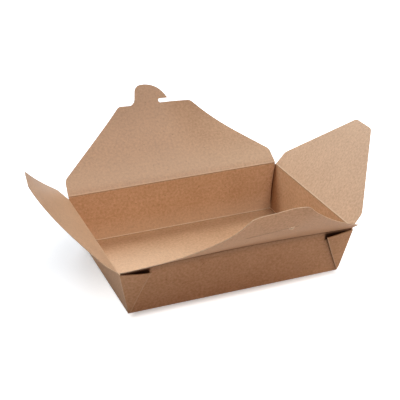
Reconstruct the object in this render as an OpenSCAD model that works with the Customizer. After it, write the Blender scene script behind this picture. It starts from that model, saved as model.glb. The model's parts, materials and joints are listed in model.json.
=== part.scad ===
// Takeaway box folded from one sheet of kraft board: a tray with sloped walls,
// a flap along each side of its rim, a hooked tab on the back flap and a slit
// for it in the front flap. All lengths are in millimetres.
// The origin is the centre of the base underside. +X runs along the long side,
// +Y points at the back flap and +Z points up.

/* [Tray] */
// Length of the base
base_length = 197; // [150:1:260]
// Width of the base
base_width = 140; // [110:1:200]
// How far each wall leans out between base and rim
wall_flare = 9.5; // [3:0.5:18]
// Height of the back wall's rim
tray_height = 46; // [35:1:90]
// Thickness of the board
board = 0.45; // [0.3:0.05:0.7]

/* [Folded corners] */
// How far a folded corner reaches along the long wall
web_reach = 27; // [15:1:45]
// How far the folded corner's tip lies below the rim
web_drop = 4; // [3:0.5:15]
// How far that tip stands off the wall
web_lift = 1.1; // [0.5:0.1:2]

/* [Creases] */
// Step between the crease of a flap and the crease of the flap that closes over it
layer_step = 0.8; // [0.6:0.05:1.5]
// Distance from a crease line to the start of its flap
crease_gap = 0.6; // [0.5:0.05:1]
// How much shorter a flap is than its wall, at each end of the crease
root_inset = 0.8; // [0.8:0.1:3]
// How much more an end flap is drawn in at each end, so that it folds between the long walls
end_inset = 0.8; // [0.6:0.1:3]

/* [Back flap] */
// Reach of the back flap from its crease, without the tab
back_reach = 80; // [60:0.5:110]
// Height of its straight shoulders
back_shoulder = 16.5; // [8:0.5:25]
// Width of its free edge
back_top = 77; // [64:1:120]
// Slope of the flap above level, as it stands open: over most of it, and at its right end
back_tilt = [50, 39]; // [20:0.5:80]

/* [Tab] */
// Width of the tab at its root
tab_neck = 25; // [18:1:40]
// Distance from the flap's middle to the middle of the tab's root
tab_shift = 8.5; // [0:0.5:15]
// Height of the tab
tab_height = 19.5; // [12:0.5:30]
// How far the hook stands out past the tab's root
hook_reach = 9; // [4:0.5:12]
// Height of the notch below the hook
notch_height = 2.5; // [1.5:0.5:6]

/* [Front flap] */
// How far the front flap reaches on past its slit
slit_margin = 27; // [14:0.5:45]
// Height of its straight shoulders
front_shoulder = 13.5; // [8:0.5:25]
// Width of its free edge
front_top = 49; // [40:1:110]
// Width of the slit
slit_width = 0.8; // [0.5:0.1:2]
// How far the slit runs on past the hook
slit_spare = 10; // [2:0.5:15]
// Slope above level at the crease: left end, middle, right end
front_tilt = [29, 34, 35.5]; // [20:0.5:60]
// Extra slope that the curl adds at the free edge: left end, middle, right end
front_curl = [53, 24, 62]; // [0:1:80]
// Bend along the slit's line
slit_bend = 9; // [0:1:30]

/* [End flaps] */
// Reach of both end flaps from their creases
end_reach = 81.5; // [50:0.5:100]
// Height of their straight shoulders
end_shoulder = 15; // [8:0.5:25]
// Width of their free edges
end_top = 27; // [20:1:90]
// Slope of the right flap above level
right_tilt = 50; // [20:1:80]
// Slope of the left flap above level at its front end and at its back end
left_tilt = [41, 49]; // [20:1:80]
// Extra slope that its curl adds at the free edge, at its front end and at its back end
left_curl = [0, 32]; // [0:1:50]

/* [Hidden] */

inside_colour = [0.80, 0.66, 0.52];
outside_colour = [0.68, 0.51, 0.38];

rim_length = base_length + 2 * wall_flare;
rim_width = base_width + 2 * wall_flare;
wall_lean = atan(wall_flare / tray_height);
// Thickness of a leaning wall, measured level
wall_level = board / cos(wall_lean);

// Crease heights: the end flaps close first, then the front flap, then the back flap
back_crease = tray_height;
front_crease = tray_height - layer_step;
end_crease = tray_height - 2 * layer_step;

// How far the middle of a wall's board lies outside the base edge at a height
function wall_out(z) = wall_flare * z / tray_height - wall_level / 2;

// How far a folded corner's cut edge starts below the front wall's rim
web_top_drop = 1;
// Width of rim beside each long wall that stays at that wall's height
rim_keep = wall_level + crease_gap;

// Rounding of a flap's corners, and points on each rounded corner
shoulder_radius = 8;
top_radius = 7;
arc_steps = 6;

// Half the width of each flap at its crease
long_root = rim_length / 2 - root_inset;
end_root = rim_width / 2 - root_inset - end_inset;

tab_left = -tab_shift - tab_neck / 2;
tab_right = -tab_shift + tab_neck / 2;
// How much the tab narrows towards its end, its rounding, and how far the hook's edge rises
tab_lean = 4;
tab_radius = 9;
hook_radius = 0.8;
hook_rise = 1.5;
// The tab's root is let into the flap: how deep, how far below the free edge and how much thinner
tab_seat = 1;
tab_sink = 0.1;
tab_thinning = 0.04;
// The back flap is flat up to a margin past the tab, and then bends over a length to its right end
back_margin = 6;
bend_length = 49;
back_flat = tab_right + back_margin;

// The slit lies where the hook's notch comes down when the back flap is closed
slit_place = rim_width - back_reach - notch_height - 2 * wall_level;
front_reach = slit_place + slit_margin;
slit_left = tab_left - board;
slit_right = tab_right + hook_reach + slit_spare;
slit_depth = 12 * board;
// The bend along the slit: how quickly it sets in, how it fades at the slit's ends, and its lead there
bend_zone = 6;
bend_side = 28;
bend_lead = 7;
// How late each curl sets in: the higher, the nearer to the free edge
curl_power = 3;
left_curl_power = 2.6;
// How finely the flaps are divided, up and across, and the steps along each bend
row_step = 4;
columns = 24;
walk_steps = 18;

// Rises smoothly from 0 to 1 while t does
function ease(t) =
    let (c = max(0, min(1, t)))
    c * c * (3 - 2 * c);

// The curve through three values given at -1, 0 and 1
function through(x, v) = v[1] + (v[2] - v[0]) / 2 * x + ((v[2] + v[0]) / 2 - v[1]) * x * x;

function turned(p, angle) = [p.x * cos(angle) - p.y * sin(angle), p.x * sin(angle) + p.y * cos(angle)];

// The arc that rounds corner b, on the way from a to c
function corner_arc(a, b, c, r) =
    let (
        to_a = (a - b) / norm(a - b),
        to_c = (c - b) / norm(c - b),
        half = acos(to_a * to_c) / 2,
        centre = b + (to_a + to_c) / norm(to_a + to_c) * r / sin(half),
        first = b + to_a * r / tan(half) - centre,
        last = b + to_c * r / tan(half) - centre,
        turn = atan2(cross(first, last), first * last)
    )
    [for (k = [0 : arc_steps]) centre + turned(first, turn * k / arc_steps)];

// A closed outline of corners [x, y, radius] with each corner rounded
function rounded(corners) =
    let (n = len(corners))
    [for (i = [0 : n - 1])
        let (
            a = corners[(i + n - 1) % n],
            b = corners[i],
            c = corners[(i + 1) % n]
        )
        each b[2] == 0 ? [[b.x, b.y]] : corner_arc([a.x, a.y], [b.x, b.y], [c.x, c.y], b[2])];

// One side of a flap, from its crease up to its free edge
function flap_side(root, shoulder, top, reach) = [
    [root, crease_gap, 0],
    [root - end_inset, shoulder, shoulder_radius],
    [top / 2, reach, top_radius]
];

function mirrored(corners) = [for (i = [len(corners) - 1 : -1 : 0]) [-corners[i].x, corners[i].y, corners[i][2]]];

// Rows [half width, reach] of a flap, close enough together for a smooth bend
function flap_rows(root, shoulder, top, reach) =
    let (
        side = flap_side(root, shoulder, top, reach),
        outline = rounded(concat(side, mirrored(side))),
        edge = [for (p = outline) if (p.x > 0) p]
    )
    concat(
        [for (i = [0 : len(edge) - 2])
            let (pieces = max(1, ceil((edge[i + 1].y - edge[i].y) / row_step)))
            for (k = [0 : pieces - 1]) edge[i] + (edge[i + 1] - edge[i]) * k / pieces],
        [edge[len(edge) - 1]]
    );

// The level and upward distance covered along a bent sheet, from the crease to reach v
function walked(tilt, u, v) =
    let (slopes = [for (k = [0 : walk_steps - 1]) tilt(u, (k + 0.5) * v / walk_steps)])
    [for (s = slopes) v / walk_steps] * [for (s = slopes) [cos(s), sin(s)]];

// A point beside the middle of the board, by side times half its thickness
function sheet_point(tilt, u, v, side) =
    let (
        slope = tilt(u, v),
        middle = walked(tilt, u, v)
    )
    [u, middle.x - side * sin(slope) * board / 2, middle.y + side * cos(slope) * board / 2];

// A flap that bends as tilt(u, v) says, with its crease on the X axis and reaching towards +Y
module bent_flap(rows, tilt) {
    last = len(rows) - 1;
    width = columns + 1;
    count = len(rows) * width;
    function at(side, r, c) = (side > 0 ? 0 : count) + r * width + c;
    points = [for (side = [1, -1], row = rows, c = [0 : columns])
        sheet_point(tilt, row.x * (2 * c / columns - 1), row.y, side)];
    upper = [for (r = [0 : last - 1], c = [0 : columns - 1]) each [
        [at(1, r, c), at(1, r + 1, c), at(1, r + 1, c + 1)],
        [at(1, r, c), at(1, r + 1, c + 1), at(1, r, c + 1)]
    ]];
    lower = [for (r = [0 : last - 1], c = [0 : columns - 1]) each [
        [at(-1, r, c), at(-1, r + 1, c + 1), at(-1, r + 1, c)],
        [at(-1, r, c), at(-1, r, c + 1), at(-1, r + 1, c + 1)]
    ]];
    sides = [for (r = [0 : last - 1]) each [
        [at(-1, r, 0), at(-1, r + 1, 0), at(1, r + 1, 0)],
        [at(-1, r, 0), at(1, r + 1, 0), at(1, r, 0)],
        [at(-1, r, columns), at(1, r + 1, columns), at(-1, r + 1, columns)],
        [at(-1, r, columns), at(1, r, columns), at(1, r + 1, columns)]
    ]];
    ends = [for (c = [0 : columns - 1]) each [
        [at(-1, 0, c), at(1, 0, c), at(1, 0, c + 1)],
        [at(-1, 0, c), at(1, 0, c + 1), at(-1, 0, c + 1)],
        [at(-1, last, c), at(1, last, c + 1), at(1, last, c)],
        [at(-1, last, c), at(-1, last, c + 1), at(1, last, c + 1)]
    ]];
    polyhedron(points, concat(upper, lower, sides, ends), convexity = 8);
}

// A straight flap, with its crease on the X axis and reaching towards +Y
module flat_flap(corners, tilt, thickness = board) {
    rotate([tilt, 0, 0])
        translate([0, 0, -thickness / 2])
            linear_extrude(thickness)
                polygon(rounded(corners));
}

// Moves a flap to the crease of a wall: facing 0 is the back wall, 180 the front wall
module on_rim(facing, half_base, crease) {
    rotate([0, 0, facing])
        translate([0, half_base + wall_out(crease), crease])
            children();
}

// A solid with a level rectangle at each of two heights and sloped sides
module tapered_block(low_size, high_size, low_z, high_z) {
    low = low_size / 2;
    high = high_size / 2;
    polyhedron(
        [
            [-low.x, -low.y, low_z], [low.x, -low.y, low_z], [low.x, low.y, low_z], [-low.x, low.y, low_z],
            [-high.x, -high.y, high_z], [high.x, -high.y, high_z], [high.x, high.y, high_z], [-high.x, high.y, high_z]
        ],
        [[0, 1, 2, 3], [4, 7, 6, 5], [0, 4, 5, 1], [1, 5, 6, 2], [2, 6, 7, 3], [3, 7, 4, 0]]
    );
}

// Size at height z of the tray's outside, less an inset on every side
function tray_size(z, inset) =
    [base_length, base_width] + [2, 2] * (wall_flare * z / tray_height - inset);

// A corner of the sheet folded in two and laid on the outside of the front wall's left end
module folded_corner() {
    plies = 2 * board;
    sink = board / 2;
    corner_top = front_crease - web_top_drop;
    tip_height = front_crease - web_drop;
    outward = [0, -cos(wall_lean), -sin(wall_lean)];
    function on_wall(x, z) = [x, -base_width / 2 - wall_flare * z / tray_height, z];
    base_corner = on_wall(-base_length / 2, 0);
    rim_corner = on_wall(-base_length / 2 - wall_flare * corner_top / tray_height, corner_top);
    tip = on_wall(-rim_length / 2 + web_reach, tip_height);
    polyhedron(
        [
            base_corner - sink * outward, rim_corner - sink * outward, tip + web_lift * outward,
            base_corner + plies * outward, rim_corner + plies * outward, tip + (web_lift + plies) * outward
        ],
        [[0, 2, 1], [3, 4, 5], [0, 1, 4, 3], [1, 2, 5, 4], [2, 0, 3, 5]]
    );
}

// Base, four walls and the corners folded onto the long walls
module tray() {
    spare = 2;
    above = tray_height + spare;
    color(outside_colour)
    union() {
        difference() {
            tapered_block(tray_size(0, 0), tray_size(tray_height, 0), 0, tray_height);
            tapered_block(tray_size(board, wall_level), tray_size(above, wall_level), board, above);
            // The front wall and the end walls stop at their own creases
            translate([-rim_length / 2 - spare, -rim_width / 2 - spare, front_crease])
                cube([rim_length + 2 * spare, base_width / 2, above]);
            for (side = [-1, 1])
                translate([side * (rim_length / 2 + spare - wall_flare / 2), 0, end_crease + above / 2])
                    cube([2 * spare + wall_flare, rim_width - 2 * rim_keep, above], center = true);
        }
        for (x = [0, 1], y = [0, 1])
            mirror([x, 0, 0])
                mirror([0, y, 0])
                    intersection() {
                        folded_corner();
                        translate([-rim_length, -rim_width, 0])
                            cube([2 * rim_length, 2 * rim_width, tray_height]);
                    }
    }
}

// Slope of the back flap, u along its crease to the right
back_slope = function (u, v)
    back_tilt[0] + (back_tilt[1] - back_tilt[0]) * ease((u - back_flat) / bend_length);

module back_flap() {
    foot = back_reach - tab_seat;
    edge = back_reach - tab_sink;
    tab = [
        [tab_right + tab_lean, foot, 0],
        [tab_right + tab_lean, edge, 0],
        [tab_right, edge, hook_radius],
        [tab_right, back_reach + notch_height, hook_radius],
        [tab_right + hook_reach, back_reach + notch_height + hook_rise, hook_radius],
        [tab_right - tab_lean, back_reach + tab_height, tab_radius],
        [tab_left + tab_lean, back_reach + tab_height, tab_radius],
        [tab_left, edge, hook_radius],
        [tab_left - tab_lean, edge, 0],
        [tab_left - tab_lean, foot, 0]
    ];
    color(inside_colour)
        on_rim(0, base_width / 2, back_crease)
            union() {
                bent_flap(flap_rows(long_root, back_shoulder, back_top, back_reach), back_slope);
                flat_flap(tab, back_tilt[0], board - tab_thinning);
            }
}

// Slope of the front flap u along its crease from the middle and v up from the crease
front_slope = function (u, v)
    let (x = -u / long_root)
    through(x, front_tilt)
        + through(x, front_curl) * pow(v / front_reach, curl_power)
        + slit_bend * ease((v - slit_place) / bend_zone + 0.5)
            * ease((-u - slit_left + bend_lead) / bend_side + 0.5)
            * ease((slit_right + u) / bend_side + 0.5);

module front_flap() {
    middle = (slit_left + slit_right) / 2;
    place = walked(front_slope, -middle, slit_place);
    color(inside_colour)
        on_rim(180, base_width / 2, front_crease)
            difference() {
                bent_flap(flap_rows(long_root, front_shoulder, front_top, front_reach), front_slope);
                translate([-middle, place.x, place.y])
                    rotate([front_slope(-middle, slit_place), 0, 0])
                        cube([slit_right - slit_left, slit_width, slit_depth], center = true);
            }
}

// Slope of the left flap, u along its crease towards the back and v up from the crease
left_slope = function (u, v)
    let (back = (u / end_root + 1) / 2)
    left_tilt[0] + (left_tilt[1] - left_tilt[0]) * back
        + (left_curl[0] + (left_curl[1] - left_curl[0]) * back) * pow(v / end_reach, left_curl_power);

module left_flap() {
    color(inside_colour)
        on_rim(90, base_length / 2, end_crease)
            bent_flap(flap_rows(end_root, end_shoulder, end_top, end_reach), left_slope);
}

module right_flap() {
    side = flap_side(end_root, end_shoulder, end_top, end_reach);
    color(inside_colour)
        on_rim(-90, base_length / 2, end_crease)
            flat_flap(concat(side, mirrored(side)), right_tilt);
}

tray();
back_flap();
front_flap();
left_flap();
right_flap();
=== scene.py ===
# %% [markdown]
# # A takeaway box folded from kraft board
#
# The real box is one flat sheet of brown kraft board, cut and scored by a die
# and then folded: a shallow tray, a doubled triangle of board at each corner,
# and a flap along each side of the rim. There is no moulding, no seam and no
# fastener, so nearly everything that the eye reads is how a thin sheet bends,
# how its scored creases round over, and how its pale cut edges catch the light.
#
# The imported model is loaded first. It fixes the size, the place and the joints
# of every part, and this script only dresses it.

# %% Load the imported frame
import json
import math

import bpy
import numpy as np
from mathutils import Matrix, Vector


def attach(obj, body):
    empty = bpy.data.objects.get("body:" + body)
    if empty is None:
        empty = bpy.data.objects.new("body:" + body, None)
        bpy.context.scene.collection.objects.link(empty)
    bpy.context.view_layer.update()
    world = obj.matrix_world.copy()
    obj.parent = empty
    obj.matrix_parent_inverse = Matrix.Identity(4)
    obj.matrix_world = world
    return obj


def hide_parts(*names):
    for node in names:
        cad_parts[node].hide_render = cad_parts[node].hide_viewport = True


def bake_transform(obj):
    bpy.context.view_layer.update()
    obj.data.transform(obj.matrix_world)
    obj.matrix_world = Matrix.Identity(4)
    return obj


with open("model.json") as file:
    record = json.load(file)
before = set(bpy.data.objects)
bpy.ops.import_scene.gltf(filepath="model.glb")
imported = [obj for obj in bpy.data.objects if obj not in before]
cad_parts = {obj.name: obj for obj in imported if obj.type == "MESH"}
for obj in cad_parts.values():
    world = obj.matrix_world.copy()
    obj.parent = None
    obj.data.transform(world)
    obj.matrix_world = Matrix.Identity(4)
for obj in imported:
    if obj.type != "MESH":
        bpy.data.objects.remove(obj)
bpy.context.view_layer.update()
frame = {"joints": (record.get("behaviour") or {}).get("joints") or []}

crease_axis = {joint["name"]: np.array(joint["pos_m"]) * 1000 for joint in frame["joints"]}
print("creases at, in mm:", {name: place.round(2).tolist() for name, place in crease_axis.items()})

# %% [markdown]
# ## The camera
#
# The photograph was taken from the front left, 25 degrees above the table, with
# a long lens that keeps the box's sides nearly parallel. A camera in Blender
# looks along its own -Z, so it is first tipped up from looking straight down,
# then turned about the vertical, and last rolled a touch about its own axis.

# %% Camera
CAMERA_PLACE = (-0.3123, -0.7873, 0.4524)
CAMERA_TURN = math.radians(21.3)
CAMERA_DIP = math.radians(25.0)
CAMERA_ROLL = math.radians(-0.73)
LENS = 93.15

camera = bpy.data.objects.new("camera", bpy.data.cameras.new("camera"))
camera.data.lens = LENS
camera.data.sensor_width = 36
camera.matrix_world = (
    Matrix.Translation(CAMERA_PLACE)
    @ Matrix.Rotation(-CAMERA_TURN, 4, "Z")
    @ Matrix.Rotation(math.pi / 2 - CAMERA_DIP, 4, "X")
    @ Matrix.Rotation(CAMERA_ROLL, 4, "Z")
)
bpy.context.scene.collection.objects.link(camera)
bpy.context.scene.camera = camera
bpy.context.scene.view_settings.view_transform = "Standard"
print("camera at", CAMERA_PLACE, "with a lens of", LENS, "mm")

# %% [markdown]
# ## Sizes of the sheet
#
# Every shape below is worked out in millimetres, as a box maker would draw it,
# and turned into metres when it becomes a mesh. The sheet itself is handled as
# a surface without thickness, running through the middle of the board. The
# board gets its thickness at the end, equally to both sides.

# %% Sizes
BOARD = 0.45
BASE_LENGTH = 197
BASE_WIDTH = 140
WALL_FLARE = 9.5
TRAY_HEIGHT = 46

wall_lean = math.atan(WALL_FLARE / TRAY_HEIGHT)
level_board = BOARD / math.cos(wall_lean)
BACK_RIM, FRONT_RIM, END_RIM = (crease_axis[side + "_crease"][2] for side in ("back", "front", "left"))
RIM_HALF_LENGTH = BASE_LENGTH / 2 + WALL_FLARE
RIM_HALF_WIDTH = BASE_WIDTH / 2 + WALL_FLARE


def wall_out(z):
    """How far the middle of a wall lies outside the base's edge: the flare grows evenly with height z."""
    return WALL_FLARE * z / TRAY_HEIGHT - level_board / 2


print("walls lean", round(math.degrees(wall_lean), 2), "degrees; rims at", BACK_RIM, FRONT_RIM, END_RIM)

# %% [markdown]
# ## Numbers into a mesh
#
# A sheet is a grid of points: rows one way and columns the other. Each little
# square of the grid is a face, listed by the numbers of its four corners. Two
# columns or rows may meet in one point, as the folds do at the tray's corners,
# so points that coincide are welded and squares may shrink to triangles.

# %% Grids and welding
WELDS_PER_MM = 1000


def grid_faces(rows, columns):
    """Squares between neighbouring points of a grid, as an array rows-1 by columns-1 by 4."""
    at = np.arange(rows * columns).reshape(rows, columns)
    return np.stack([at[:-1, :-1], at[:-1, 1:], at[1:, 1:], at[1:, :-1]], axis=-1)


def weld(points, faces, *values):
    """Points closer than a micrometre get one number; faces with no area go; each first value stays."""
    _, first, number = np.unique((points * WELDS_PER_MM).round(), axis=0,
                                 return_index=True, return_inverse=True)
    faces = number.reshape(-1)[faces]
    for one, other, kept in ((0, 1, [1, 2, 3, 3]), (1, 2, [0, 2, 3, 3]), (3, 0, [0, 1, 2, 2])):
        meets = faces[:, one] == faces[:, other]
        faces = np.where(meets[:, None], faces[:, kept], faces)
    a, b, c, d = faces.T
    faces = faces[(a != b) & (b != c) & (a != c) & (d != a)]
    return points[first], faces, *[value[first] for value in values]


def listed(*grids):
    """The points of several grids as one list."""
    return np.concatenate([grid.reshape(-1, grid.shape[-1]) for grid in grids])


def joined_grids(first, second):
    """The points and faces of two grids as one list: the second's faces count on from the first's points."""
    count = first.shape[0] * first.shape[1]
    return listed(first, second), listed(grid_faces(*first.shape[:2]), grid_faces(*second.shape[:2]) + count)


print("points closer than", 1 / WELDS_PER_MM, "mm are welded")

# %% [markdown]
# ## Thickness
#
# To give the sheet its board, each point moves half the thickness along the
# sheet's normal to one side and to the other. Where the sheet ends, a narrow
# face joins the two sides: that is the die-cut edge. Every corner sharper than
# 50 degrees is shaded as a hard edge, so the cut stays crisp while the wide
# sides and the rounded folds are smooth.

# %% Board from a sheet


def sheet_normals(points, faces):
    """Unit normals: the sum of the normals of the faces round each point, larger faces counting for more."""
    a, b, c, d = (points[faces[:, k]] for k in range(4))
    across = np.cross(c - a, d - b)
    normals = np.zeros_like(points)
    for k in range(4):
        np.add.at(normals, faces[:, k], across)
    return normals / np.maximum(np.linalg.norm(normals, axis=1, keepdims=True), 1e-9)


def open_edges(faces, count):
    """Edges that have a face on one side only, as pairs that run the way their face does."""
    edges = np.concatenate([faces[:, [k, (k + 1) % 4]] for k in range(4)])
    edges = edges[edges[:, 0] != edges[:, 1]]
    there = edges[:, 0] * count + edges[:, 1]
    back = edges[:, 1] * count + edges[:, 0]
    return edges[~np.isin(there, back)]


def board_from_sheet(points, faces, thickness):
    """The board's points and faces, and 0, 1 or 2 for each face: inside, outside or cut edge."""
    count = len(points)
    half = sheet_normals(points, faces) * np.reshape(thickness, (-1, 1)) / 2
    a, b = open_edges(faces, count).T
    cut = np.stack([b, a, a + count, b + count], 1)
    side = np.repeat([0, 1, 2], [len(faces), len(faces), len(cut)])
    both_sides = np.concatenate([points + half, points - half])
    return both_sides, np.concatenate([faces, faces[:, ::-1] + count, cut]), side


print("half the board's thickness goes to each side:", BOARD / 2, "mm")

# %% [markdown]
# Each piece also carries two things that its finish needs. The first is a UV map
# named sheet, which holds the place of every point on the flat, unfolded sheet
# in metres, so that the fibres run on over the folds as they do in real board.
# The second is a number per point named score, for each side of the board by
# itself: above 0 where a crease or wear has rubbed it pale, and also where a
# painted sheen or highlight stands in for light; below 0 where it is pressed into
# a dark groove, and also where painted shade stands in for the shade deep in a
# fold, in a pocket, in a corner and under a rim; and 0 on plain board.

# %% Make a piece of the box
MM = 0.001
SHARP_ANGLE = 50


def make_piece(name, points, faces, flat, finishes, score_inside=0.0, score_outside=0.0, thickness=BOARD):
    """A mesh object of board, from a sheet in millimetres, its flat layout, its finishes and its scores."""
    points, faces, flat = points.reshape(-1, 3), faces.reshape(-1, 4), flat.reshape(-1, 2)
    each = [np.broadcast_to(np.asarray(value, float).ravel(), len(points))
            for value in (score_inside, score_outside, thickness)]
    points, faces, flat, score_inside, score_outside, thickness = weld(points, faces, flat, *each)
    solid, solid_faces, side = board_from_sheet(points, faces, thickness)
    mesh = bpy.data.meshes.new(name)
    triangle = solid_faces[:, 2] == solid_faces[:, 3]
    triangle_back = solid_faces[:, 0] == solid_faces[:, 1]
    corners = [face[1:] if back else face[:3] if three else face
               for face, three, back in zip(solid_faces.tolist(), triangle, triangle_back)]
    mesh.from_pydata((solid * MM).tolist(), [], corners)
    mesh.polygons.foreach_set("material_index", side.astype(np.int32))
    mesh.polygons.foreach_set("use_smooth", side < 2)
    corner_point = np.empty(len(mesh.loops), np.int32)
    mesh.loops.foreach_get("vertex_index", corner_point)
    layout = mesh.uv_layers.new(name="sheet")
    layout.uv.foreach_set("vector", (flat[corner_point % len(points)] * MM).astype(np.float32).ravel())
    crease = mesh.attributes.new("score", "FLOAT", "POINT")
    crease.data.foreach_set("value", np.concatenate([score_inside, score_outside]).astype(np.float32))
    for finish in finishes:
        mesh.materials.append(finish)
    mesh.update()
    mesh.set_sharp_from_angle(angle=math.radians(SHARP_ANGLE))
    piece = bpy.data.objects.new(name, mesh)
    bpy.context.scene.collection.objects.link(piece)
    print(f"{name}: {len(mesh.vertices)} points, {len(mesh.polygons)} faces")
    return piece


# %% [markdown]
# ## Kraft fibres
#
# Kraft board is pressed from long brown wood fibres. Up close it shows fine
# streaks that mostly run one way, a cloudy mottling where the pulp settled
# thicker or thinner, and a few dark flecks of bark. All of that is one effect
# that all the finishes of the board share, so it is a node group. It reads the
# flat layout of the sheet and gives out a tone from dark to light, a height for
# the relief, and a mask for the flecks.

# %% Helpers for nodes


def add(tree, kind, settings=None, **inputs):
    """A node of a kind with its settings, each input set to a value or linked to another node's output."""
    node = tree.nodes.new(kind)
    for key, value in (settings or {}).items():
        setattr(node, key, value)
    for key, value in inputs.items():
        numbered = key[0] == "i" and key[1:].isdigit()
        socket = node.inputs[int(key[1:]) if numbered else key.replace("_", " ")]
        if isinstance(value, bpy.types.NodeSocket):
            tree.links.new(value, socket)
        else:
            socket.default_value = value
    return node


def math_node(tree, operation, first, second=0.0, third=0.0):
    """The output of a Math node."""
    return add(tree, "ShaderNodeMath", {"operation": operation}, i0=first, i1=second, i2=third).outputs[0]


def ranged(tree, value, start, end, at_start, at_end, curve="LINEAR"):
    """The output of a Map Range node: it runs from one value at the start to another at the end."""
    return add(tree, "ShaderNodeMapRange", {"interpolation_type": curve}, Value=value,
               i1=start, i2=end, i3=at_start, i4=at_end).outputs[0]


def mixed(tree, share, first, second):
    """The output of a colour Mix node: the first colour at a share of 0 and the second at 1."""
    return add(tree, "ShaderNodeMix", {"data_type": "RGBA"}, Factor=share, i6=first, i7=second).outputs[2]


def noise(tree, place, scale, detail, roughness=0.5):
    """The output of a Noise Texture node."""
    return add(tree, "ShaderNodeTexNoise", Vector=place,
               Scale=scale, Detail=detail, Roughness=roughness).outputs["Fac"]


def empty_tree(owner):
    """The node tree of a material or a world, emptied."""
    owner.use_nodes = True
    owner.node_tree.nodes.clear()
    return owner.node_tree


def stretched(tree, place, along, across, turn):
    """Coordinates for streaks: how many repeat in a metre along and across, turned by an angle in degrees."""
    turned = add(tree, "ShaderNodeMapping", Vector=place, Rotation=(0, 0, math.radians(turn)))
    return add(tree, "ShaderNodeMapping", Vector=turned.outputs[0], Scale=(along, across, 1)).outputs[0]


# %% The kraft fibre group
CLOUDS_PER_METRE, PULP_PER_METRE, PULP_CONTRAST = 38.0, 420.0, 3.2
STREAK_LAYERS = ((260, 2300, 7), (330, 1900, -31))
MIDDLE_TONE = 0.5
FLECK_LAYER = (210, 520, 15)
FLECK_SHARE, FLECK_CORE, FLECK_EDGE = 0.07, 0.05, 0.22

fibres = bpy.data.node_groups.new("kraft_fibres", "ShaderNodeTree")
for way, names in (("INPUT", ("Sheet", "Clouds", "Streaks")), ("OUTPUT", ("Tone", "Relief", "Flecks"))):
    for name in names:
        kind = "NodeSocketVector" if name == "Sheet" else "NodeSocketFloat"
        fibres.interface.new_socket(name, in_out=way, socket_type=kind)

given = add(fibres, "NodeGroupInput")
sheet_place = given.outputs["Sheet"]
clouds = noise(fibres, sheet_place, CLOUDS_PER_METRE, 3.0, 0.6)
pulp = noise(fibres, sheet_place, PULP_PER_METRE, 4.0, 0.7)
streaks = math_node(fibres, "ADD", *[noise(fibres, stretched(fibres, sheet_place, *layer), 1.0, 2.0, 0.6)
                                     for layer in STREAK_LAYERS])
cloud_part = math_node(fibres, "MULTIPLY_ADD", clouds, given.outputs["Clouds"],
                       math_node(fibres, "MULTIPLY", given.outputs["Clouds"], -0.5))
pulp_part = math_node(fibres, "MULTIPLY_ADD", pulp, PULP_CONTRAST, -PULP_CONTRAST / 2)
streak_part = math_node(fibres, "MULTIPLY_ADD", streaks, given.outputs["Streaks"],
                        math_node(fibres, "MULTIPLY", given.outputs["Streaks"], -1.0))
tone = math_node(fibres, "ADD", math_node(fibres, "ADD", cloud_part, pulp_part), streak_part)
tone = math_node(fibres, "ADD", tone, MIDDLE_TONE)

fleck_cells = add(fibres, "ShaderNodeTexVoronoi", Vector=stretched(fibres, sheet_place, *FLECK_LAYER),
                  Scale=1.0, Randomness=1.0)
fleck_pick = add(fibres, "ShaderNodeSeparateColor", Color=fleck_cells.outputs["Color"])
fleck_core = ranged(fibres, fleck_cells.outputs["Distance"], FLECK_CORE, FLECK_EDGE, 1.0, 0.0, "SMOOTHSTEP")
fleck_rare = math_node(fibres, "LESS_THAN", fleck_pick.outputs[0], FLECK_SHARE)

add(fibres, "NodeGroupOutput", Tone=tone, Relief=math_node(fibres, "ADD", streaks, pulp),
    Flecks=math_node(fibres, "MULTIPLY", fleck_core, fleck_rare))
print("fibre group nodes:", len(fibres.nodes))

# %% [markdown]
# ## The finishes of one board
#
# Inside and outside are the same pulp, but the outside is a little darker and
# rougher. The cut edge shows the torn ends of the fibres, so it is
# paler and rougher. A scored crease is rubbed paler in a broken line where the
# die bruised the surface, or dark where it was pressed into a groove, and a
# groove has no gloss. The same pale and dark tones also paint light and shade:
# a painted sheen or highlight where the score is above 0, a painted shade where
# it is below 0. The tray's inside is a touch warmer than the flaps' inside, a
# painted shade for the warm light bounced round inside the tray, and both its
# faces are duller than the flaps'. Colours are written as they look in plain light.

# %% Board finishes
PALE_BREAKUPS_PER_METRE, PALE_BREAKUP_CONTRAST, PALE_BREAKUP_LEAST = 900.0, 1.2, 0.1
ROUGHNESS_SPREAD = 0.06
RELIEF_DEPTH = 0.0001


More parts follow.
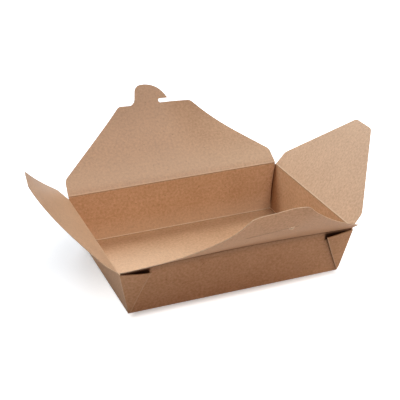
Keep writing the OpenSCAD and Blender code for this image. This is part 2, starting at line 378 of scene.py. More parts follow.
def kraft_finish(name, dark, light, fleck, rubbed, groove, roughness, gloss, clouds, streaks, relief):
    """One side of the board: two tones mixed by the fibres, flecks, paler and darker places from the score,
    which are wear and grooves and also painted light and painted shade, relief.
    """
    material = bpy.data.materials.new(name)
    tree = empty_tree(material)
    layout = add(tree, "ShaderNodeUVMap", {"uv_map": "sheet"}).outputs[0]
    pulp = add(tree, "ShaderNodeGroup", {"node_tree": fibres}, Sheet=layout, Clouds=clouds, Streaks=streaks)
    board = mixed(tree, pulp.outputs["Tone"], (*dark, 1), (*light, 1))
    flecked = mixed(tree, pulp.outputs["Flecks"], board, (*fleck, 1))
    score = add(tree, "ShaderNodeAttribute", {"attribute_name": "score"}).outputs["Fac"]
    pale_breakup = noise(tree, layout, PALE_BREAKUPS_PER_METRE, 2.0)
    # Above 0 the score mixes in the pale tone, broken up by noise: rubbed wear, and also painted sheen and
    # highlights. Below 0 it mixes in the dark tone and takes the gloss away: grooves, and also painted shade
    # in folds, pockets, corners and under rims.
    broken = math_node(tree, "MULTIPLY", score,
                       math_node(tree, "MULTIPLY_ADD", pale_breakup, PALE_BREAKUP_CONTRAST, PALE_BREAKUP_LEAST))
    pressed = math_node(tree, "MULTIPLY", score, -1.0)
    colour = mixed(tree, pressed, mixed(tree, broken, flecked, (*rubbed, 1)), (*groove, 1))
    rough = ranged(tree, pulp.outputs["Tone"], 0.0, 1.0,
                   roughness - ROUGHNESS_SPREAD, roughness + ROUGHNESS_SPREAD)
    gloss_here = ranged(tree, pressed, 0.0, 1.0, gloss, 0.0)
    bump = add(tree, "ShaderNodeBump", Strength=relief, Distance=RELIEF_DEPTH, Height=pulp.outputs["Relief"])
    shader = add(tree, "ShaderNodeBsdfPrincipled", Base_Color=colour, Roughness=rough,
                 Specular_IOR_Level=gloss_here, Normal=bump.outputs[0])
    add(tree, "ShaderNodeOutputMaterial", Surface=shader.outputs[0])
    return material


inside_look = dict(fleck=(0.30, 0.17, 0.09), clouds=0.9, streaks=0.9, relief=0.35)
outside_look = dict(dark=(0.505, 0.295, 0.172), light=(0.672, 0.432, 0.28), fleck=(0.26, 0.14, 0.08),
                    rubbed=(0.78, 0.61, 0.46), groove=(0.05, 0.025, 0.015),
                    clouds=0.9, streaks=0.9, relief=0.25)
inside_finish = kraft_finish("kraft_inside", dark=(0.53, 0.345, 0.225), light=(0.71, 0.50, 0.35),
                             rubbed=(0.84, 0.70, 0.55), groove=(0.20, 0.09, 0.045),
                             roughness=0.45, gloss=0.45, **inside_look)
# The tray's inside is a touch warmer than the flaps' inside: a painted shade for the warm light bounced round
# inside the tray.
tray_finish = kraft_finish("kraft_tray_inside", dark=(0.53, 0.315, 0.183), light=(0.71, 0.467, 0.302),
                           rubbed=(0.90, 0.74, 0.58), groove=(0.15, 0.055, 0.025),
                           roughness=0.5, gloss=0.38, **inside_look)
flap_outside_finish = kraft_finish("kraft_outside", roughness=0.55, gloss=0.5, **outside_look)
tray_outside_finish = kraft_finish("kraft_tray_outside", roughness=0.6, gloss=0.3, **outside_look)
cut_finish = kraft_finish("kraft_cut_edge", dark=(0.68, 0.52, 0.38), light=(0.90, 0.77, 0.62),
                          fleck=(0.40, 0.26, 0.16), rubbed=(0.80, 0.64, 0.48), groove=(0.45, 0.30, 0.19),
                          roughness=0.85, gloss=0.3, clouds=0.4, streaks=0.8, relief=0.6)
flap_finishes = [inside_finish, flap_outside_finish, cut_finish]
tray_finishes = [tray_finish, tray_outside_finish, cut_finish]
print("finishes of the flaps:", [finish.name for finish in flap_finishes])
print("finishes of the tray:", [finish.name for finish in tray_finishes])

# %% [markdown]
# ## How a flap bends
#
# Thin board bends easily one way and hardly at all two ways at once, so a flap
# is best described by its slope: how steeply it rises at u millimetres along
# its crease and v millimetres up from it. Walking up from the crease and adding
# up the small steps level and upward gives the place of each point. The four
# flaps differ only in their outlines and in their slopes.

# %% Curves for outlines and bends
SLOPE_STEPS = 24


def ease(t):
    """Rises smoothly from 0 to 1 while t does: three times t squared less twice t cubed."""
    t = np.clip(t, 0, 1)
    return t * t * (3 - 2 * t)


def through(x, left, middle, right):
    """The parabola through three values, given at x of -1, 0 and 1."""
    return middle + (right - left) / 2 * x + ((right + left) / 2 - middle) * x * x


def walked(slope, u, v):
    """Level and upward distance from the crease: v times the mean cosine and the mean sine of the slope."""
    way = (np.arange(SLOPE_STEPS) + 0.5) / SLOPE_STEPS
    turned = np.radians(slope(u[..., None], v[..., None] * way))
    return v * np.cos(turned).mean(-1), v * np.sin(turned).mean(-1)


def spread(stops, counts):
    """Numbers that run through the stops, evenly between each two, with a count for each run."""
    runs = [np.linspace(first, last, count)[:-1] for first, last, count in zip(stops, stops[1:], counts)]
    return np.append(np.concatenate(runs), stops[-1])


def corner_arc(before, corner, after, radius, steps=9):
    """The arc that rounds a corner: it leaves each side at the radius over the tangent of half the angle."""
    to_before = (before - corner) / np.linalg.norm(before - corner)
    to_after = (after - corner) / np.linalg.norm(after - corner)
    half = np.arccos(to_before @ to_after) / 2
    bisector = (to_before + to_after) / np.linalg.norm(to_before + to_after)
    centre = corner + bisector * radius / np.sin(half)
    first = corner + to_before * radius / np.tan(half) - centre
    last = corner + to_after * radius / np.tan(half) - centre
    turn = np.arctan2(first[0] * last[1] - first[1] * last[0], first @ last) * np.linspace(0, 1, steps)
    return centre + np.stack([first[0] * np.cos(turn) - first[1] * np.sin(turn),
                              first[0] * np.sin(turn) + first[1] * np.cos(turn)], 1)


def path_lengths(path):
    """The length walked along a path up to each of its points."""
    return np.concatenate([[0], np.cumsum(np.linalg.norm(np.diff(path, axis=0), axis=1))])


def at_lengths(path, marks):
    """The points of a path at given lengths along it."""
    return np.stack([np.interp(marks, path_lengths(path), path[:, k]) for k in range(2)], 1)


def spaced(path, step):
    """The same path with points at most a step apart, its own points kept."""
    length = path_lengths(path)
    marks = np.union1d(length, np.linspace(0, length[-1], int(length[-1] / step) + 1))
    return at_lengths(path, marks[np.concatenate([[True], np.diff(marks) > 1e-6])])


print("a bend is added up in", SLOPE_STEPS, "steps; halfway, ease gives", float(ease(0.5)))

# %% [markdown]
# A flap's side rises straight from the crease for a short shoulder, turns in
# along a slanted cut, and ends in the free edge. Both corners are rounded by
# the die. The outline is kept as rows: half the width of the flap at each
# distance from its crease.

# %% Flap outlines
SHOULDER_RADIUS = 8
TOP_RADIUS = 7
ROOT_INSET = 0.8
END_INSET = 0.8
ROW_STEP = 1.6
FIRST_STEP = 0.3


def flap_rows(root, shoulder, top, reach, start, extra_rows=()):
    """Rows of half width and distance from the crease, from a start to the free edge."""
    foot = np.array([root, 0.0])
    elbow = np.array([root - END_INSET, shoulder])
    tip = np.array([top / 2, reach])
    middle = np.array([0.0, reach])
    path = np.concatenate([[foot], corner_arc(foot, elbow, tip, SHOULDER_RADIUS),
                           corner_arc(elbow, tip, middle, TOP_RADIUS)])
    rows = spaced(path, ROW_STEP)
    height = np.union1d(rows[rows[:, 1] > start + FIRST_STEP, 1], [start, *extra_rows])
    return np.stack([np.interp(height, rows[:, 1], rows[:, 0]), height], 1)


back_root = RIM_HALF_LENGTH - ROOT_INSET
end_root = RIM_HALF_WIDTH - ROOT_INSET - END_INSET
print("half widths at the creases:", back_root, end_root)

# %% [markdown]
# ## The slopes of the four flaps
#
# The slopes, in degrees above level, were read from the photograph. The back
# flap leans back and twists a little lower at its right end. The front flap
# curls up towards its two free corners and bends along its slit. The left flap
# curls up at its back corner, and the right flap is nearly flat.

# %% Slopes
BACK_REACH, BACK_SHOULDER, BACK_TOP = 80, 16.5, 77
BACK_TILT, BACK_TILT_RIGHT, BACK_CURL = 50, 38.5, 4
BACK_FLAT_END, BACK_BEND_LENGTH = 0, 80

TAB_LEFT, TAB_RIGHT = -21, 4
HOOK_REACH, NOTCH_HEIGHT = 9, 2.5

SLIT_PLACE = 2 * RIM_HALF_WIDTH - BACK_REACH - NOTCH_HEIGHT - 2 * level_board
SLIT_LEFT, SLIT_RIGHT = TAB_LEFT - BOARD, TAB_RIGHT + HOOK_REACH + 10
FRONT_REACH, FRONT_SHOULDER, FRONT_TOP = SLIT_PLACE + 27, 13.5, 49
FRONT_TILT, FRONT_CURL, FRONT_CURL_POWER = (29, 34, 35.5), (53, 24, 62), 3
SLIT_BEND, SLIT_BEND_ZONE, SLIT_BEND_SIDE, SLIT_BEND_LEAD = 9, 6, 28, 7

END_REACH, END_SHOULDER, END_TOP = 81.5, 15, 27
RIGHT_TILT = 50
LEFT_TILT, LEFT_CURL, LEFT_CURL_POWER = (41, 49), (0, 32), 2.6


def back_slope(u, v):
    """Even along the tab's side, easing down to the right end, and a little steeper to the free edge."""
    along = BACK_TILT + (BACK_TILT_RIGHT - BACK_TILT) * ease((u - BACK_FLAT_END) / BACK_BEND_LENGTH)
    return along + BACK_CURL * (v / BACK_REACH - 0.5)


def front_slope(u, v):
    """A parabola along the crease, a curl that grows with the cube of v, and a soft step at the slit."""
    x = -u / back_root
    step = (ease((v - SLIT_PLACE) / SLIT_BEND_ZONE + 0.5)
            * ease((-u - SLIT_LEFT + SLIT_BEND_LEAD) / SLIT_BEND_SIDE + 0.5)
            * ease((SLIT_RIGHT + u) / SLIT_BEND_SIDE + 0.5))
    curl = through(x, *FRONT_CURL) * (v / FRONT_REACH) ** FRONT_CURL_POWER
    return through(x, *FRONT_TILT) + curl + SLIT_BEND * step


def left_slope(u, v):
    """Steeper towards the back, plus a curl there that grows with v."""
    back = (u / end_root + 1) / 2
    return (LEFT_TILT[0] + (LEFT_TILT[1] - LEFT_TILT[0]) * back
            + (LEFT_CURL[0] + (LEFT_CURL[1] - LEFT_CURL[0]) * back) * (v / END_REACH) ** LEFT_CURL_POWER)


def right_slope(u, v):
    """The same everywhere."""
    return RIGHT_TILT + 0 * u + 0 * v


print("reaches, in mm: back", BACK_REACH, "front", round(FRONT_REACH, 1), "ends", END_REACH)
print("the slit lies", round(SLIT_PLACE, 1), "mm from its crease")

# %% [markdown]
# A flap is worked out lying along the X axis with its crease at zero. It is then
# turned to face its own wall and moved to its crease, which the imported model
# gives. The front crease bows: between its ends the long front wall leans in by
# over two millimetres and stands one higher, because the curled flap stiffens it.

# %% Placing a flap on its crease
FACING = {"back": 0, "front": 180, "left": 90, "right": -90}
BOW_IN, BOW_UP, BOW_FADE, BOW_POWER = 2.4, 1.0, 60, 1.5


def bow(u):
    """How much of the bow a point along the long crease gets: none at the ends, all of it in the middle."""
    return np.clip(1 - (u / RIM_HALF_LENGTH) ** 2, 0, 1) ** BOW_POWER


def turned_to(side, u, out):
    """X and Y of places u along a side and out from it, turned about the vertical to the side's facing."""
    turn = math.radians(FACING[side])
    return u * math.cos(turn) - out * math.sin(turn), u * math.sin(turn) + out * math.cos(turn)


def on_crease(side, u, out, up):
    """Points in the box's own frame, at u along a crease, out from its wall and up from it."""
    x, y = turned_to(side, u, out)
    axis = crease_axis[side + "_crease"]
    return np.stack([x + axis[0], y + axis[1], up + axis[2]], -1)


def bent_sheet(side, slope, u, v):
    """Points of a flap at u along its crease and v up from it."""
    out, up = walked(slope, u, v)
    if side == "front":
        held = bow(u) * (1 - ease(v / BOW_FADE))
        out, up = out - BOW_IN * held, up + BOW_UP * held
    return on_crease(side, u, out, up)


print("the front crease bows in by", BOW_IN, "mm and up by", BOW_UP, "mm")

# %% [markdown]
# ## The end flaps
#
# These two have the plainest outline, so they come first. The columns spread
# evenly over each row, which keeps the grid's last columns exactly on the cut
# sides. The flap starts a little way up from its crease, and a crease strip
# fills the rest later. The left flap's inside is painted a little darker, a
# painted shade, most of all at its back corner.

# %% End flaps
FLAP_START = {"back": 1.6, "front": 3.5, "left": 1.4, "right": 1.4}
WALL_STOP = {"back": 1.2, "front": 3.5, "left": 0.8, "right": 0.8}
END_FLAP_COLUMNS = 73
# Painted shade on an end flap's inside: even over the flap, and growing towards its back corner.
LEFT_PAINTED_SHADE, RIGHT_PAINTED_SHADE, EVEN_PAINTED_SHADE = 0.16, 0.0, 0.4
base_half = {"back": BASE_WIDTH / 2, "front": BASE_WIDTH / 2,
             "left": BASE_LENGTH / 2, "right": BASE_LENGTH / 2}


def flat_place(side, u, v):
    """Where a flap's point lies on the unfolded sheet: past the base's edge, the wall's slant and then v."""
    slant = crease_axis[side + "_crease"][2] / math.cos(wall_lean)
    return np.stack(turned_to(side, u, base_half[side] + slant + v), -1)


def end_flap(side, slope, shade):
    """A whole end flap as one grid; its inside's painted shade grows towards the back corner of its free
    edge.
    """
    rows = flap_rows(end_root, END_SHOULDER, END_TOP, END_REACH, FLAP_START[side])
    share = np.linspace(-1, 1, END_FLAP_COLUMNS)
    u = rows[:, :1] * share
    v = np.broadcast_to(rows[:, 1:], u.shape)
    far_back = ease(rows[:, 1:] / END_REACH) * (share + 1) / 2
    piece = make_piece(side + "_flap_board", bent_sheet(side, slope, u, v), grid_faces(*u.shape),
                       flat_place(side, u, v), flap_finishes, -shade * (EVEN_PAINTED_SHADE + far_back))
    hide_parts(side + "_flap")
    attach(piece, side + "_flap")
    return piece


left_flap_board = end_flap("left", left_slope, LEFT_PAINTED_SHADE)
right_flap_board = end_flap("right", right_slope, RIGHT_PAINTED_SHADE)
print("end flaps:", left_flap_board.name, right_flap_board.name)

# %% [markdown]
# ## The back flap and its hooked tab
#
# The tab grows out of the flap's free edge. To keep one unbroken sheet, the
# columns are laid so that two of them fall exactly on the tab's root, and the
# tab is a second grid that starts from those same points. Its outline has a
# wide rounding on the left, a domed end, and a hook on the right over a narrow
# notch, which catches in the slit of the front flap. The flap's free edge rises
# by a millimetre towards its two corners. Its inside is painted paler low down,
# a painted sheen, and a painted shade darkens it towards the tab.

# %% The tab's outline


def blend_lines(left, right, columns):
    """Points spread evenly from a left outline to a right one, row by row."""
    across = np.linspace(0, 1, columns)[None, :, None]
    return left[:, None] * (1 - across) + right[:, None] * across


FOOT = BACK_REACH
CROWN = BACK_REACH + 20.7
EDGE_LEFT, EDGE_RIGHT = (-40, FOOT), (30, FOOT)
TAB_LEFT_CORNERS = [((-22.4, FOOT), 9.0), ((-17.4, CROWN), 8.0)]
TAB_RIGHT_CORNERS = [((3.1, FOOT), 1.9), ((3.1, FOOT + 4.4), 1.9),
                     ((13.7, FOOT + 4.2), 0.5), ((4.0, CROWN), 23.7)]
TAB_CROWN = (-10.9, CROWN)
TAB_ROWS, TAB_COLUMNS, LEFT_COLUMNS, RIGHT_COLUMNS = 90, 29, 25, 45
ROUNDING_STEPS = 15


def rounded(start, corners, end, count):
    """A path to the end with each corner rounded by its radius, as a number of points at even distances."""
    stops = np.array([start, *[place for place, _ in corners], end], float)
    arcs = [corner_arc(stops[k], stops[k + 1], stops[k + 2], radius, ROUNDING_STEPS)
            for k, (_, radius) in enumerate(corners)]
    path = np.concatenate([*arcs, [stops[-1]]])
    return at_lengths(path, np.linspace(0, path_lengths(path)[-1], count))


tab_left_side = rounded(EDGE_LEFT, TAB_LEFT_CORNERS, TAB_CROWN, TAB_ROWS)
tab_right_side = rounded(EDGE_RIGHT, TAB_RIGHT_CORNERS, TAB_CROWN, TAB_ROWS)
print("tab outline:", len(tab_left_side), "points on each side, its crown at", CROWN, "mm")

# %% Back flap
EDGE_RISE, EDGE_RISE_POWER = 1.2, 12
# A painted sheen low on the back flap's inside and a painted shade towards the tab.
LOW_PAINTED_SHEEN, LOW_RISE, LOW_END, LOW_FADE = 0.35, 6, 8, 35
TOP_PAINTED_SHADE, TOP_FROM, TOP_RISE = 0.15, 45, 40


def back_painted_sheen_and_shade(v):
    """The inside's score: a painted sheen just above the crease, fading with v, and a painted shade towards
    the tab.
    """
    low = ease((v - FLAP_START["back"]) / LOW_RISE) * (1 - ease((v - LOW_END) / LOW_FADE))
    return LOW_PAINTED_SHEEN * low - TOP_PAINTED_SHADE * ease((v - TOP_FROM) / TOP_RISE)


back_rows = flap_rows(back_root, BACK_SHOULDER, BACK_TOP, BACK_REACH, FLAP_START["back"])
top_half = back_rows[-1, 0]
tab_from, tab_to = tab_left_side[0, 0] / top_half, tab_right_side[0, 0] / top_half
back_share = spread([-1, tab_from, tab_to, 1], [LEFT_COLUMNS, TAB_COLUMNS, RIGHT_COLUMNS])

back_u = back_rows[:, :1] * back_share
edge_share = (back_u / top_half) ** 2 * (back_rows[:, 1:] / BACK_REACH) ** EDGE_RISE_POWER
back_v = back_rows[:, 1:] + EDGE_RISE * edge_share
tab_layout = blend_lines(tab_left_side, tab_right_side, TAB_COLUMNS)
tab_u, tab_v = tab_layout[..., 0], tab_layout[..., 1]
back_points, back_faces = joined_grids(bent_sheet("back", back_slope, back_u, back_v),
                                       bent_sheet("back", back_slope, tab_u, tab_v))
back_flat = listed(flat_place("back", back_u, back_v), flat_place("back", tab_u, tab_v))
back_flap_board = make_piece("back_flap_board", back_points, back_faces, back_flat, flap_finishes,
                             np.concatenate([back_painted_sheen_and_shade(back_v).ravel(), back_painted_sheen_and_shade(tab_v).ravel()]))
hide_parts("back_flap")
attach(back_flap_board, "back_flap")

# %% [markdown]
# ## The front flap and its slit
#
# The slit is a cut in the sheet, not a slot: the two lips lie against each other
# for most of its length, and gape a little near its right end, where a thumb
# pressed it open. In the grid, one row of points runs along the cut. Those
# points are doubled, so the faces above and below no longer share them, and the
# two lips are drawn slightly apart. Where the slit gapes, the lower lip is bent
# outward, and it is painted paler there on both sides, a painted highlight;
# where the lips are closed, a painted shadow line runs along the cut outside.

# %% The slit's lips
SLIT_GAPE, SLIT_GAPE_PLACE, SLIT_GAPE_HALF = 0.9, 16.8, 2.8
SLIT_STEP, SLIT_PUSH, PUSH_WAY = 0.15, 1.7, [0, -0.6, -0.8]
LIP, LIP_APART, LOWER_LIP_DROP = 0.35, 0.04, 0.2
SECOND_ROW_FOLLOWS, THIRD_ROW_FOLLOWS = 0.8, 0.2
# A painted highlight where the slit gapes and a painted shadow line where its lips are closed.
SLIT_PAINTED_HIGHLIGHT, LIP_PAINTED_HIGHLIGHT, SLIT_PAINTED_SHADOW, GAPE_SHOWS = 1.5, 0.8, -1.0, 0.2
FRONT_COLUMNS = 145

front_rows = flap_rows(back_root, FRONT_SHOULDER, FRONT_TOP, FRONT_REACH, FLAP_START["front"],
                       [SLIT_PLACE - LIP, SLIT_PLACE, SLIT_PLACE + LIP])
slit_row = int(np.argmin(abs(front_rows[:, 1] - SLIT_PLACE)))
front_u = front_rows[:, :1] * np.linspace(-1, 1, FRONT_COLUMNS)
front_v = np.broadcast_to(front_rows[:, 1:], front_u.shape)
in_slit = np.flatnonzero((front_u[slit_row] > -SLIT_RIGHT) & (front_u[slit_row] < -SLIT_LEFT))
slit_u = front_u[slit_row, in_slit]
pressed = np.clip(1 - ((-slit_u - SLIT_GAPE_PLACE) / SLIT_GAPE_HALF) ** 2, 0, 1)
gape = SLIT_GAPE * pressed
lower_lip = bent_sheet("front", front_slope, slit_u, SLIT_PLACE - LOWER_LIP_DROP * gape - LIP_APART)
upper_lip = bent_sheet("front", front_slope, slit_u, SLIT_PLACE + gape + LIP_APART)
pushed_out = (SLIT_STEP + SLIT_PUSH * pressed)[:, None] * PUSH_WAY
print("the slit runs over", len(in_slit), "points, and gapes by", SLIT_GAPE, "mm")

# %% Front flap
front_points = bent_sheet("front", front_slope, front_u, front_v)
front_points[slit_row, in_slit] = lower_lip + pushed_out
front_points[slit_row - 1, in_slit] += SECOND_ROW_FOLLOWS * pushed_out
front_points[slit_row - 2, in_slit] += THIRD_ROW_FOLLOWS * pushed_out
front_flat = flat_place("front", front_u, front_v)
front_faces = grid_faces(*front_u.shape)
doubled = np.arange(front_u.size)
doubled[slit_row * FRONT_COLUMNS + in_slit] = front_u.size + np.arange(len(in_slit))
front_faces[slit_row, :, :2] = doubled[front_faces[slit_row, :, :2]]
# Painted light and shadow along the slit: a painted highlight on both sides of the gaping lip, a painted
# shadow line outside where the lips are closed.
lip_painted_light_and_shadow = np.zeros(front_u.shape)
lip_painted_light_and_shadow[slit_row, in_slit] = np.where(pressed > GAPE_SHOWS, LIP_PAINTED_HIGHLIGHT, SLIT_PAINTED_SHADOW)
lip_painted_highlight = np.zeros(front_u.shape)
lip_painted_highlight[slit_row - 2:slit_row + 1, in_slit] = SLIT_PAINTED_HIGHLIGHT * np.sqrt(pressed)
front_flap_board = make_piece(
    "front_flap_board", listed(front_points, upper_lip), front_faces,
    listed(front_flat, front_flat[slit_row, in_slit]), flap_finishes,
    *[np.concatenate([score.ravel(), np.zeros(len(in_slit))]) for score in (lip_painted_highlight, lip_painted_light_and_shadow)])
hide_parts("front_flap")
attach(front_flap_board, "front_flap")

# %% [markdown]
# ## The tray
#
# The base and the walls are one ring carried up a profile: flat on the base,
# round the fold, and up the slanted wall. At each corner the ring does not turn
# at once. The spare board of the corner is folded double and laid on the
# outside of the long wall, so the ring turns back on itself, runs out to the
# diagonal fold, turns back again, and only then goes round the corner to the
# end wall. Lower down these loops shrink, and at the base they are a point.

# %% Tray profile
FOLD_RADIUS = 0.8
BASE_BORDER = 6.0
BASE_FOLD_STEPS = 7
BORDER_STEPS = np.array([0, 0.45, 0.75, 0.9])
WALL_ROWS, ROWS_DENSER_LOW = 26, 1.25


def tray_profile():
    """How far out and how high the sheet's middle lies: along the base's border and round the fold."""
    corner = np.array([wall_out(BOARD / 2), BOARD / 2])
    inner = corner - [BASE_BORDER, 0]
    upper = corner + [math.sin(wall_lean), math.cos(wall_lean)]
    arc = corner_arc(inner, corner, upper, FOLD_RADIUS, BASE_FOLD_STEPS)
    lead = inner + BORDER_STEPS[:, None] * (arc[0] - inner)
    return np.concatenate([lead, arc])


profile = tray_profile()
fold_outside = np.array([0, 0, 0, 0.15, 0.6, 0.9, 1, 1, 1, 0.9, 0.6])
fold_inside = np.array([0, 0, 0, -0.25, -0.5, -0.4, 0.4, 1.2, 1.4, 1.4, 1.3])
wall_share = np.linspace(0, 1, WALL_ROWS + 1)[1:] ** ROWS_DENSER_LOW
foot_up = profile[-1, 1]
print("the walls' flat part starts", round(foot_up, 2), "mm up")

# %% [markdown]
# The folded corner is a path of its own, measured from the tray's corner: first
# along the long wall, then how far it stands off that wall. Its length grows
# with height, up to the cut edge just below the rim. The doubled board does not
# lie flat: low down it stands a millimetre off the wall and at its tip about
# three, which opens the dark pocket that shows above it. The pocket never catches
# light, so the board there is painted dark, a painted shade, and so is the inner
# half of the diagonal fold, where it turns in against the wall.

# %% Folded corners
WEB_REACH = 27
WEB_TIP_HEIGHT = FRONT_RIM - 1.9
PLY = 0.52
WEB_STAND_OFF, WEB_SPRING, SPRING_POWER, CURVE_POWER = 0.9, 2.3, 4, 1.3
WEB_SLIT, WEB_SLIT_SWELL = 0.7, 1.1
WEB_STARTS, STAND_STARTS = 0.12, 0.1
FOLD_EDGE = 0.8
FOLD_STEPS = 5
PLY_COLUMNS = 9


def web_gap(size):
    """The gap between the end of the long wall and the end wall: a slit that is widest at half the height."""
    return (WEB_SLIT + WEB_SLIT_SWELL * np.sin(math.pi * size)) * ease(size / WEB_STARTS)


def arc_points(centre, radius, start, turn):
    """Points on an arc about a centre, from a start angle through a turn in degrees, without its ends."""
    angle = np.radians(start + turn * np.linspace(0, 1, FOLD_STEPS + 2)[1:-1])
    return centre + radius * np.stack([np.cos(angle), np.sin(angle)], 1)


def web_path(size):
    """Along and off the long wall, from its end to the end wall's, for a web of a size from 0 to 1."""
    reach = size * (WEB_REACH - WALL_FLARE + WALL_FLARE * END_RIM / TRAY_HEIGHT)
    ply = PLY * ease(size / WEB_STARTS)
    gap = web_gap(size)
    share = np.append(np.linspace(0, 1 - min(FOLD_EDGE / max(reach, 1e-6), 0.5), PLY_COLUMNS - 1), 1)
    spring = WEB_STAND_OFF * ease(size / STAND_STARTS) + WEB_SPRING * size ** SPRING_POWER
    off = ply + spring * np.sin(math.pi / 2 * share) ** CURVE_POWER
    inner = np.stack([gap + (reach - gap) * share, off], 1)
    outer = np.stack([ply / 2 + (reach - ply / 2) * share, off + ply], 1)[::-1]
    first_fold = arc_points(np.array([gap, ply / 2]), ply / 2, -90, -180)
    tip_fold = arc_points(np.array([reach, off[-1] + ply / 2]), ply / 2, -90, 180)
    last_fold = arc_points(np.array([ply / 2, 1.5 * ply]), ply / 2, 90, 90)
    return np.concatenate([[[gap, 0]], first_fold, inner, tip_fold, outer, last_fold])


fold_half = FOLD_STEPS // 2
web_parts = [1 + FOLD_STEPS, PLY_COLUMNS - 1, 1 + fold_half,
             FOLD_STEPS - fold_half + 1, PLY_COLUMNS - 1, FOLD_STEPS]
# The scores of -1 and -0.7 are painted shade, on the plies' faces in the pocket and on the inner half of the
# diagonal fold.
web_outside = np.repeat([0.8, -1, -1, 0.8, 0, 0.8], web_parts)
web_inside = np.repeat([0.3, -1, -1, -1, -1, -0.7], web_parts)
print("columns in a folded corner:", len(web_path(1.0)), "scored ones:", np.count_nonzero(web_outside))

# %% [markdown]
# Every wall is a panel of rows and columns in its own frame: along the wall,
# outward from the box, and up. The panel's lowest rows belong to the base, so
# that neighbouring panels meet along the base's diagonals. The long walls have
# their columns closer together near the ends, where the folded corners lie.

# %% Walls
END_COLUMNS, MIDDLE_COLUMNS, CORNER_COLUMNS, MIDDLE_SHARE = 65, 41, 57, 0.72
LONG_SHARE = spread([-1, -MIDDLE_SHARE, MIDDLE_SHARE, 1], [CORNER_COLUMNS, MIDDLE_COLUMNS, CORNER_COLUMNS])
END_SHARE = np.linspace(-1, 1, END_COLUMNS)
BOW_GROWTH = 2


def wall_rows(side):
    """Heights and outward places of a side's rows: the profile, then the wall up to its crease strip."""
    top = crease_axis[side + "_crease"][2] - WALL_STOP[side] * math.cos(wall_lean)
    heights = foot_up + wall_share * (top - foot_up)
    return np.concatenate([profile[:, 1], heights]), np.concatenate([profile[:, 0], wall_out(heights)])


def web_size(heights):
    """The size of the folded corner at each height: 0 up to the fold and 1 at the end wall's rim."""
    return np.clip((heights - foot_up) / (END_RIM - foot_up), 0, 1)


def leaned_in(u, far, up):
    """The front wall's bow: its share grows with the square of the height, up to the rim."""
    held = bow(u) * (up / FRONT_RIM) ** BOW_GROWTH
    return far - BOW_IN * held, up + BOW_UP * held


def wall_panel(side):
    """One wall with its part of the base: a long wall stops short of the corner by the web's gap."""
    heights, out = wall_rows(side)
    is_long = side in ("back", "front")
    half = base_half["left" if is_long else "back"] + out - (web_gap(web_size(heights)) if is_long else 0)
    u = half[:, None] * (LONG_SHARE if is_long else END_SHARE)
    far = np.broadcast_to((base_half[side] + out)[:, None], u.shape)
    up = np.broadcast_to(heights[:, None], u.shape)
    if side == "front":
        far, up = leaned_in(u, far, up)
    return np.stack([u, far, up], -1)


print("columns: long walls", len(LONG_SHARE), "end walls", len(END_SHARE))

# %% The folded corners' panels


def web_panel(side):
    """The folded corner at a long wall's end: the diagonal fold falls in height towards the web's low tip."""
    heights, out = wall_rows("left")
    size = web_size(heights)
    paths = np.stack([web_path(s) for s in size])
    share = paths[..., 0] / np.maximum(paths[..., 0].max(1, keepdims=True), 1e-6)
    up = heights[:, None] - share * (heights - size * WEB_TIP_HEIGHT)[:, None] * (size > 0)[:, None]
    far = base_half[side] + np.where(size[:, None] > 0, wall_out(up), out[:, None])
    u = (base_half["left"] + out)[:, None] - paths[..., 0]
    off = paths[..., 1]
    return np.stack([u, far + off * math.cos(wall_lean), up - off * math.sin(wall_lean)], -1)


def faced(side, points):
    """Points given as along, outward and up, turned so that outward points the way the side faces."""
    return np.stack([*turned_to(side, points[..., 0], points[..., 1]), points[..., 2]], -1)


def laid_flat(side, points):
    """A wall's points on the unfolded sheet: past the base's edge by the slant height."""
    u, far, up = np.moveaxis(points, -1, 0)
    return np.stack(turned_to(side, u, far - wall_out(up) + up / math.cos(wall_lean)), -1)


# %% [markdown]
# Seen from above, the ring runs clockwise: back wall, folded corner, right
# wall, folded corner, and so on. A folded corner is drawn once for each long
# wall, for the end at larger u. The other end is its mirror image, taken in the
# other order, because there the ring comes from the end wall.

# %% The ring of walls and the base
MIRROR = np.array([-1, 1, 1])
wall = {side: wall_panel(side) for side in FACING}
web = {side: web_panel(side) for side in ("back", "front")}
ring_order = [
    ("back", wall["back"], 0), ("back", web["back"], 1), ("right", wall["right"], 0),
    ("front", (web["front"] * MIRROR)[:, ::-1], -1), ("front", wall["front"], 0),
    ("front", web["front"], 1), ("left", wall["left"], 0),
    ("back", (web["back"] * MIRROR)[:, ::-1], -1), ("back", wall["back"][:, :1], 0),
]
ring = np.concatenate([faced(side, points) for side, points, _ in ring_order], axis=1)
ring_flat = np.concatenate([laid_flat(side, points) for side, points, _ in ring_order], axis=1)
base_half_size = np.array([BASE_LENGTH, BASE_WIDTH]) / 2 + profile[0, 0]
base_flat = np.stack(np.meshgrid(LONG_SHARE, END_SHARE), -1) * base_half_size
base = np.concatenate([base_flat, np.full((*base_flat.shape[:2], 1), BOARD / 2)], -1)
print("the ring has", ring.shape[0], "rows of", ring.shape[1], "points")

# %% [markdown]
# The scores paint light and shade into the tray, besides its folds. A long
# wall is painted paler along its foot inside, a painted light for the light that
# the base throws back, and a painted shade darkens it under its rim outside,
# where the flap overhangs it. Its painted shade is darkest behind the folded
# corner and in the mouth of its pocket. The end walls have painted shade in the
# tray's corners, and the fold along the base shows as a dark line under a pale
# one. The base itself is painted a little paler towards its front and its left,
# a painted sheen.

